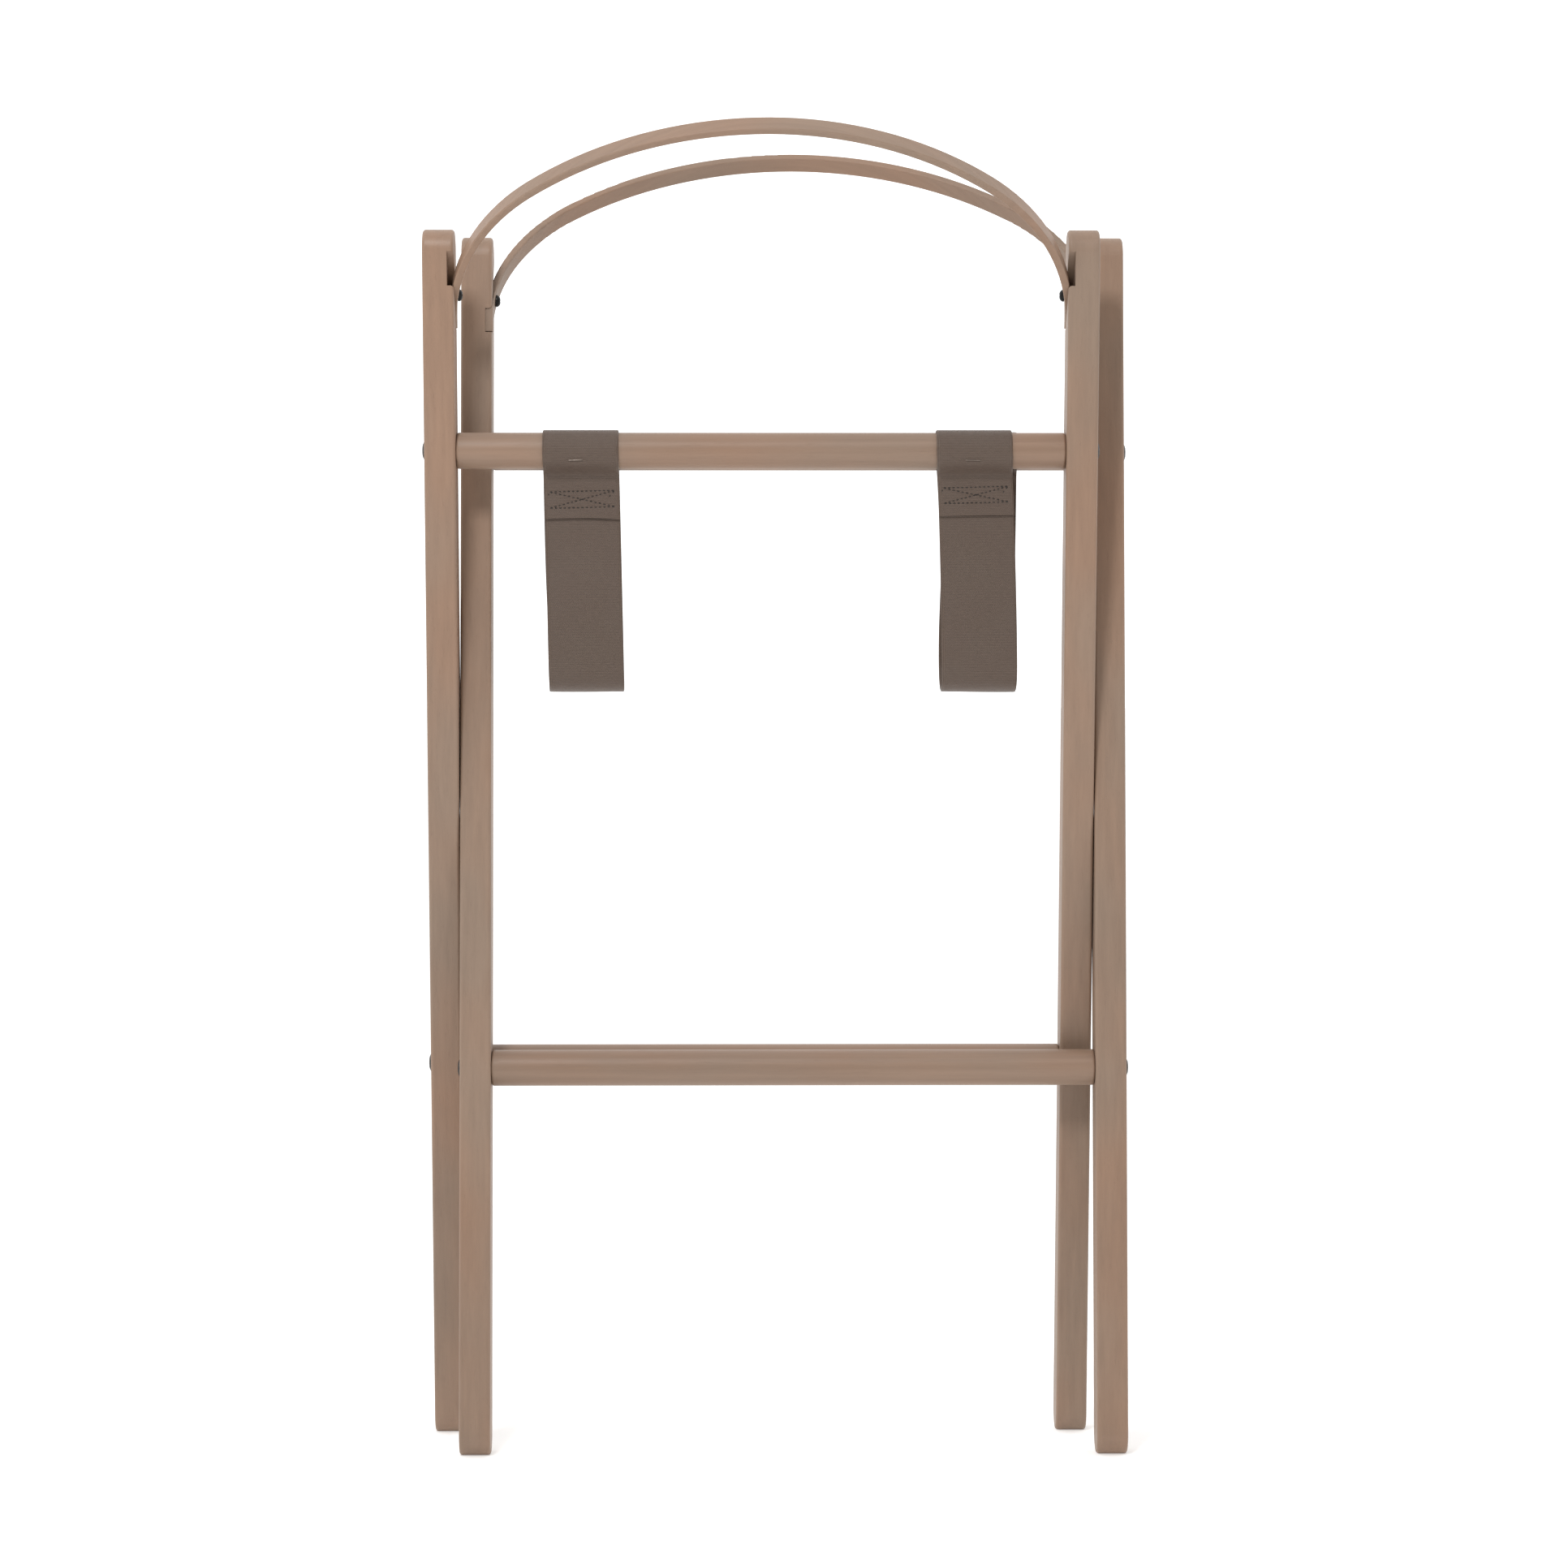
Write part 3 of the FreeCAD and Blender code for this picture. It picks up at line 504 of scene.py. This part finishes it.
class HalfStrap:
    """Half of one strap: cut tail, eye round the rail, strand, and its half of the turn at the bottom. The
    path is the front half's. The rear half is its mirror image in Y, with its own wander."""

    def __init__(self, side, half):
        self.half, self.facts = half, STRAPS[side]
        self.mirror = 1 if half == "front" else -1
        low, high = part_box(f"{side}_strap_{half}_web")
        self.centre = (low.x + high.x) / 2
        self.width = high.x - low.x
        self.tail_end = self.facts["tail_end"]
        leave = math.radians(LEAVE_ANGLE)
        wrap = RAIL_RADIUS + RAIL_GAP + WEB_THICK / 2
        tail_y = -LOOP_RADIUS - WEB_THICK - TAIL_GAP
        tail_run, tail_top = neck(wrap, tail_y - RAIL_Y)
        strand_run, strand_top = neck(wrap, RAIL_Y + LOOP_RADIUS)
        path = Path((tail_y, RAIL_Z - self.tail_end), 90)
        path.add(self.tail_end - tail_top)
        path.add(BEND_RADIUS * leave, LEAVE_ANGLE)
        self.grip_start = path.add(tail_run)
        self.grip_end = path.add(wrap * (math.pi + 2 * leave), -(180 + 2 * LEAVE_ANGLE))
        path.add(strand_run)
        path.add(BEND_RADIUS * leave, LEAVE_ANGLE)
        self.strand_end = path.add(STRAND_LENGTH - strand_top)
        self.turn_middle = path.add(LOOP_RADIUS * TURN_STEP, TURN_DEGREES)
        self.turn_end = path.add(LOOP_RADIUS * TURN_STEP, TURN_DEGREES)
        self.over_rail = (self.grip_start + self.grip_end) / 2
        self.path = path

    def loop_distance(self, distance, z):
        """Millimetres round the loop from the front rail's middle to this place."""
        if distance > self.strand_end:
            drop = STRAND_LENGTH + distance - self.strand_end
        else:
            drop = max(0.0, RAIL_Z - z)
        along = drop if self.half == "front" else 2 * HALF_LOOP - drop
        return along / MM

    def is_sewn(self, drop):
        upper_row, lower_row = self.facts["rows"]
        return upper_row - STITCH_MARGIN < drop < lower_row + STITCH_MARGIN

    def stitch_lines(self):
        """The lines of stitches as pairs of (across, drop) points."""
        upper_row, lower_row = self.facts["rows"]
        reach = self.width / 2 - STITCH_INSET
        a, b = (-reach, upper_row + ROW_SLANT / 2), (reach, upper_row - ROW_SLANT / 2)
        c, d = (-reach, lower_row + ROW_SLANT / 2), (reach, lower_row - ROW_SLANT / 2)
        end_tack = (reach - END_TACK[0], upper_row + END_TACK[1])
        start_tack = (-reach - START_TACK[0], upper_row + START_TACK[1])
        return [(a, b), (c, d), (a, d), (c, b), (b, end_tack), (a, start_tack)]

    def dent(self, distance, across, drop):
        """How far the stitches and the staple press the webbing in."""
        if self.is_sewn(drop):
            near = min(gap_to_line((across, drop), a, b) for a, b in self.stitch_lines())
            return PUCKER * math.exp(-(near / PUCKER_REACH) ** 2)
        if self.grip_start < distance < self.over_rail and drop > 0:
            past_end = abs(across + self.facts["staple_shift"]) - STAPLE_WIDTH / 2
            beside = max(0.0, past_end) / DENT_REACH_ACROSS
            below = (drop - STAPLE_DROP) / DENT_REACH_DOWN
            return STAPLE_DENT * math.exp(-(beside ** 2 + below ** 2))
        return 0.0

    def face_height(self, distance, across, side):
        """A face's height off the webbing's middle. Up to the top of the rail the dents are in side 1, the
        outer face, and past it in side -1, the strand's face against the tail."""
        drop = RAIL_Z - self.path.read(distance)[1]
        dented = 1 if distance < self.over_rail else -1
        press = self.dent(distance, across, drop) if side == dented else 0.0
        return side * (WEB_THICK / 2 - press)

    def lean(self, where, across, share, drop):
        """How far inwards the webbing stands off its path, at this loop distance and place across it."""
        lean = through(self.facts["twist"], where) * across
        lean += (through(self.facts["curl"], where) * share ** 2 + through(BELLY, where)) * MM
        ripple_place = (across * RIPPLES_PER_METRE_ACROSS, where * RIPPLES_PER_MM_ALONG,
                        self.facts["ripple_seed"])
        free = min(1.0, max(0.0, (drop - GRIP_END_DROP) / FREE_LENGTH))
        return (lean + noise.noise(Vector(ripple_place)) * RIPPLE) * free

    def place(self, distance, across, off=0.0):
        """A point of the webbing: distance along it, across it, and off its middle. Off is positive away from
        the rail in the eye, so it is out of the loop on the tail and into it on the strand."""
        y, z, heading = self.path.read(distance)
        normal = Vector((0, -math.sin(heading), math.cos(heading)))
        inwards = 1.0 if distance > self.over_rail else -1.0
        where = self.loop_distance(distance, z)
        share = across / (self.width / 2)
        lean = self.lean(where, across, share, RAIL_Z - z)
        if distance < CUT_FADE:
            fade = 1 - distance / CUT_FADE
            z -= fade * (self.facts["cut_bow"] * (share ** 2 - 0.5) + self.facts["cut_slant"] * share * 0.5)
        drift = through(self.facts["drift"], where) * MM
        point = Vector((self.centre + across + drift, y, z)) + normal * (off + inwards * lean)
        point.y *= self.mirror
        return point

    def stops(self, start, end):
        """Distances along the strap for its rings: close together where it is sewn, stapled or turned."""
        found = [start]
        while found[-1] < end - 1e-6:
            here = found[-1]
            drop = RAIL_Z - self.path.read(here + 1e-6)[1]
            near_eye = self.grip_start - EYE_LEAD < here < self.grip_end + EYE_TRAIL
            near_turn = here >= self.strand_end - TURN_LEAD
            step = PLAIN_STEP
            if near_eye or near_turn:
                step = CURVED_STEP
            if self.is_sewn(drop):
                step = SEWN_STEP
            found.append(min(end, here + step))
        if len(found) > 2 and found[-1] - found[-2] < SHORTEST_STEP:
            found.pop(-2)
        return found

    def turn_point(self, distance):
        """The path's point at a distance, at rest."""
        y, z = self.path.read(distance)[:2]
        return (0, y * self.mirror, z)


# ---- The straps' pieces ----

def section(width):
    """The webbing's cross-section as (across, side share): flat faces and rounded edges."""
    round_edge = WEB_THICK / 2
    reach = width / 2 - round_edge
    columns = [-reach + 2 * reach * i / WEB_COLUMNS for i in range(WEB_COLUMNS + 1)]
    turns = [math.pi * i / (EDGE_STEPS + 1) for i in range(1, EDGE_STEPS + 1)]
    ring = [(across, 1.0) for across in columns]
    ring += [(reach + round_edge * math.sin(turn), math.cos(turn)) for turn in turns]
    ring += [(across, -1.0) for across in reversed(columns)]
    ring += [(-reach - round_edge * math.sin(turn), -math.cos(turn)) for turn in turns]
    return ring


def strap_piece(strap, name, start, end, materials):
    """One closed length of webbing along its path. A second material, if any, is its first end's."""
    ring = section(strap.width)
    stops = strap.stops(start, end)
    points, uvs = [], []
    for distance in stops:
        for across, share in ring:
            if abs(share) == 1.0:
                off = strap.face_height(distance, across, int(share))
            else:
                off = WEB_THICK / 2 * share
            points.append(strap.place(distance, across, off))
            uvs.append((across, distance))
    faces = tube_faces(len(stops), len(ring), flip=strap.mirror > 0)
    face_material = [0] * len(faces)
    face_material[-2] = len(materials) - 1
    return mesh_object(name, points, faces, materials, face_material, uvs)


def stitches(strap, name, on_tail, material):
    """The stitches on the tail's outer face, or on the face of the strand that lies against the tail."""
    points, faces = [], []
    for a, b in strap.stitch_lines():
        length = math.dist(a, b)
        count = max(1, round(length / STITCH_PITCH))
        half = STITCH_LENGTH / 2 / length
        for i in range(count):
            middle = (i + 0.5) / count
            start, stop = ([a[k] + (b[k] - a[k]) * t for k in (0, 1)] for t in (middle - half, middle + half))
            faces += tube_faces(THREAD_STEPS + 1, THREAD_SIDES, base=len(points), flip=True)
            points += stitch_points(strap, start, stop, on_tail)
    return mesh_object(name, points, faces, [material], sharp=80)


def stitch_points(strap, start, stop, on_tail):
    """One short arched tube of thread: its ends are sunk in the webbing and its middle stands out of it."""
    points = []
    up = Vector((0, -strap.mirror if on_tail else strap.mirror, 0))
    ahead = Vector((stop[0] - start[0], 0, start[1] - stop[1])).normalized()
    side = ahead.cross(up).normalized()
    for step in range(THREAD_STEPS + 1):
        t = step / THREAD_STEPS
        across = start[0] + (stop[0] - start[0]) * t
        drop = start[1] + (stop[1] - start[1]) * t
        arch = math.sin(math.pi * t)
        # From 1.1 radii under the puckered face at the ends to half a radius over it in the middle.
        lift = WEB_THICK / 2 - PUCKER * 0.9 + THREAD_RADIUS * (1.6 * arch - 1.1)
        radius = THREAD_RADIUS * (0.55 + 0.45 * arch)
        if on_tail:
            centre = strap.place(strap.tail_end - drop, across, lift)
        else:
            centre = strap.place(strap.strand_end - (STRAND_LENGTH - drop), across, -lift)
        for i in range(THREAD_SIDES):
            turn = 2 * math.pi * i / THREAD_SIDES
            points.append(centre + side * radius * math.cos(turn) + up * radius * math.sin(turn))
    return points


def staple_line():
    """The staple's wire as (across, out) points: a leg, a rounded shoulder, and the same mirrored."""
    half = STAPLE_WIDTH / 2 - STAPLE_WIRE
    line = [(-half, -STAPLE_LEG)]
    for i in range(STAPLE_BEND_STEPS + 1):
        turn = math.pi / 2 * i / STAPLE_BEND_STEPS
        line.append((-half + STAPLE_SHOULDER * (1 - math.cos(turn)), -STAPLE_SHOULDER * (1 - math.sin(turn))))
    return line + [(-across, out) for across, out in reversed(line)]


def staple(strap, name, material):
    """A wire crown pressed into the eye, with its legs turned in towards the rail."""
    drop_angle = math.asin(STAPLE_DROP / (RAIL_RADIUS + WEB_THICK))
    outward = Vector((0, -math.cos(drop_angle), -math.sin(drop_angle)))
    upward = Vector((0, -math.sin(drop_angle), math.cos(drop_angle)))
    # The middle of the wire stands 0.3 of its radius over the dent.
    surface = RAIL_RADIUS + RAIL_GAP + WEB_THICK - STAPLE_DENT + STAPLE_WIRE * 0.3
    tilt = math.radians(strap.facts["staple_turn"])
    drift = strap.facts["drift"][0 if strap.half == "front" else -1][1] * MM
    line = staple_line()
    points = []
    for k, (across, out) in enumerate(line):
        before, after = line[max(k - 1, 0)], line[min(k + 1, len(line) - 1)]
        ahead = Vector((after[0] - before[0], 0, after[1] - before[1])).normalized()
        flat = Vector((-ahead.z, 0, ahead.x))
        for i in range(STAPLE_SIDES):
            turn = 2 * math.pi * i / STAPLE_SIDES
            round_wire = flat * math.cos(turn) + Vector((0, 1, 0)) * math.sin(turn)
            spot = Vector((across, 0, out)) + round_wire * STAPLE_WIRE
            x = spot.x * math.cos(tilt) - strap.facts["staple_shift"]
            rise = spot.y + spot.x * math.sin(tilt)
            place = Vector((strap.centre + x, RAIL_Y, RAIL_Z)) + outward * (surface + spot.z) + upward * rise
            place.x += drift
            place.y *= strap.mirror
            points.append(place)
    return mesh_object(name, points, tube_faces(len(line), STAPLE_SIDES), [material], sharp=60)


def make_webbing(strap, side, web, cut):
    """The eye with its strand, and the two parts of the turn; the CAD's webbing pieces are hidden."""
    half = strap.half
    stem = f"{side}_{half}_strap"
    eye = strap_piece(strap, stem + "_eye_and_strand", 0.0, strap.strand_end, [web, cut])
    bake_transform(eye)
    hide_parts(f"{side}_strap_{half}_wrap", f"{side}_strap_{half}_web")
    turns = (("turn_1", "webbing", "bend", strap.strand_end, strap.turn_middle),
             ("turn_2", "bend", "bottom", strap.turn_middle, strap.turn_end - MIDDLE_GAP))
    for ending, body, next_body, begin, end in turns:
        piece = strap_piece(strap, f"{stem}_{ending}", begin, end, [web])
        strap.turn_point(begin)
        strap.turn_point(end)
        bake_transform(piece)
        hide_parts(f"{side}_strap_{half}_{next_body}")


def make_fastenings(strap, side, sewing, wire):
    """The stitches, parented to the webbing's body, and the staple, parented to the frame's body."""
    stem = f"{side}_{strap.half}_strap"
    for face, on_tail in (("tail", True), ("back", False)):
        sewn = stitches(strap, f"{stem}_stitches_{face}", on_tail, sewing)
        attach(sewn, strap.half + "_webbing")
    pin = staple(strap, stem + "_staple", wire)
    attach(pin, strap.half + "_frame")
    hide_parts(strap.half + "_strap_staples")


def make_straps():
    """Both straps, as a front half and a rear half each."""
    web, cut, sewing = webbing(), cut_webbing(), thread()
    wire = metal("coated_staple", (0.13, 0.1, 0.082), (0.2, 0.16, 0.135), 0.34, metallic=0.5)
    for half in HALVES:
        for side in STRAPS:
            strap = HalfStrap(side, half)
            make_webbing(strap, side, web, cut)
            make_fastenings(strap, side, sewing, wire)


# ---- Floor, light and camera ----

def make_floor():
    """A wide pale floor that glows slightly, so that it runs into the background without an edge."""
    corners = [(-FLOOR_REACH, -FLOOR_REACH, 0), (FLOOR_REACH, -FLOOR_REACH, 0),
               (FLOOR_REACH, FLOOR_REACH, 0), (-FLOOR_REACH, FLOOR_REACH, 0)]
    nodes = new_material("studio_floor")
    sweep = nodes.noise(nodes.coordinates(), 1.5, 2)
    colour = nodes.mix(sweep, (0.80, 0.795, 0.785, 1), (0.82, 0.815, 0.81, 1))
    white = nodes.finish(colour, Roughness=0.9, Specular_IOR_Level=0.1, Emission_Color=(1, 0.995, 0.985, 1),
                         Emission_Strength=FLOOR_GLOW)
    mesh_object("floor", corners, [(0, 1, 2, 3)], [white])


def make_world():
    """A bright studio: white behind and beside the rack, dimmer overhead, and dark on the camera's side."""
    world = bpy.data.worlds.new("studio")
    bpy.context.scene.world = world
    nodes = Nodes(world, "Background")
    axes = nodes.axes(nodes.coordinates("Generated"))
    height = nodes.between(axes[2], 1.02, 0.95, 0.25, 0.7)
    depth = nodes.between(axes[1], 0.25, 1.4, -0.8, 0.2)
    nodes.fill(nodes.shader.inputs["Color"], (1, 1, 1, 1))
    nodes.fill(nodes.shader.inputs["Strength"], nodes.math("MULTIPLY", height, depth))


def make_key_light():
    data = bpy.data.lights.new("key", "AREA")
    data.shape, data.size, data.energy = "SQUARE", KEY_SIZE, KEY_POWER
    lamp = bpy.data.objects.new("key", data)
    bpy.context.scene.collection.objects.link(lamp)
    lamp.location = KEY_PLACE
    lamp.rotation_euler = (Vector(KEY_TARGET) - Vector(KEY_PLACE)).to_track_quat("-Z", "Y").to_euler()


def make_camera():
    data = bpy.data.cameras.new("camera")
    data.sensor_width, data.lens = CAMERA_SENSOR, CAMERA_LENS
    camera = bpy.data.objects.new("camera", data)
    bpy.context.scene.collection.objects.link(camera)
    camera.location = CAMERA_PLACE
    camera.rotation_euler = (math.radians(90 - CAMERA_DOWN), 0, math.radians(CAMERA_TURN))
    bpy.context.scene.camera = camera


finish_cad_nodes()
make_straps()
make_floor()
make_world()
make_key_light()
make_camera()
bpy.context.scene.view_settings.view_transform = "Standard"
